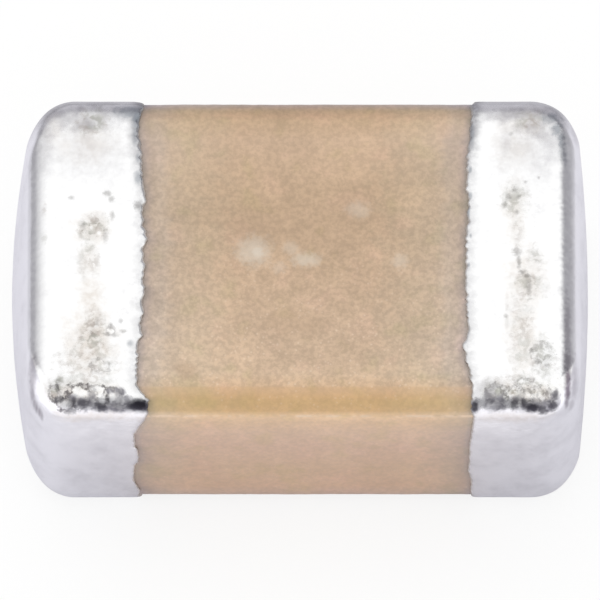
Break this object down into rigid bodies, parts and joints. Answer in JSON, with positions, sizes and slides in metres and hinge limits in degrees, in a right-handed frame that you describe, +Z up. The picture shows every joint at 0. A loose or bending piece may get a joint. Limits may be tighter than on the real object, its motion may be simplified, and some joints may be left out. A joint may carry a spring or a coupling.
{
  "type": "multilayer ceramic chip capacitor",
  "caption": "Small surface-mount ceramic capacitor: a tan block with rounded edges, a domed tin-plated cap on each end and interleaved electrodes inside.",
  "frame": {"origin": "under the middle of the chip, level with its two lower solder lands", "axes": "+X along the length from the left cap to the right one, +Y across the width to the back, +Z up through the thickness"},
  "size_m": [0.002, 0.0012, 0.0008],
  "materials": {
    "ceramic": "matt",
    "tin": "satin",
    "nickel": "satin",
    "copper": "matt",
    "electrode": "matt"
  },
  "bodies": {
    "root": {"ceramic_body": "ceramic", "left_copper_base": "copper", "left_nickel_barrier": "nickel", "left_tin_plating": "tin", "right_copper_base": "copper", "right_nickel_barrier": "nickel", "right_tin_plating": "tin", "left_electrode_01": "electrode", "right_electrode_01": "electrode", "left_electrode_02": "electrode", "right_electrode_02": "electrode", "left_electrode_03": "electrode", "right_electrode_03": "electrode", "left_electrode_04": "electrode", "right_electrode_04": "electrode", "left_electrode_05": "electrode", "right_electrode_05": "electrode", "left_electrode_06": "electrode", "right_electrode_06": "electrode", "left_electrode_07": "electrode", "right_electrode_07": "electrode", "left_electrode_08": "electrode", "right_electrode_08": "electrode", "left_electrode_09": "electrode", "right_electrode_09": "electrode", "left_electrode_10": "electrode", "right_electrode_10": "electrode", "left_electrode_11": "electrode", "right_electrode_11": "electrode", "left_electrode_12": "electrode", "right_electrode_12": "electrode"}
  },
  "joints": []
}
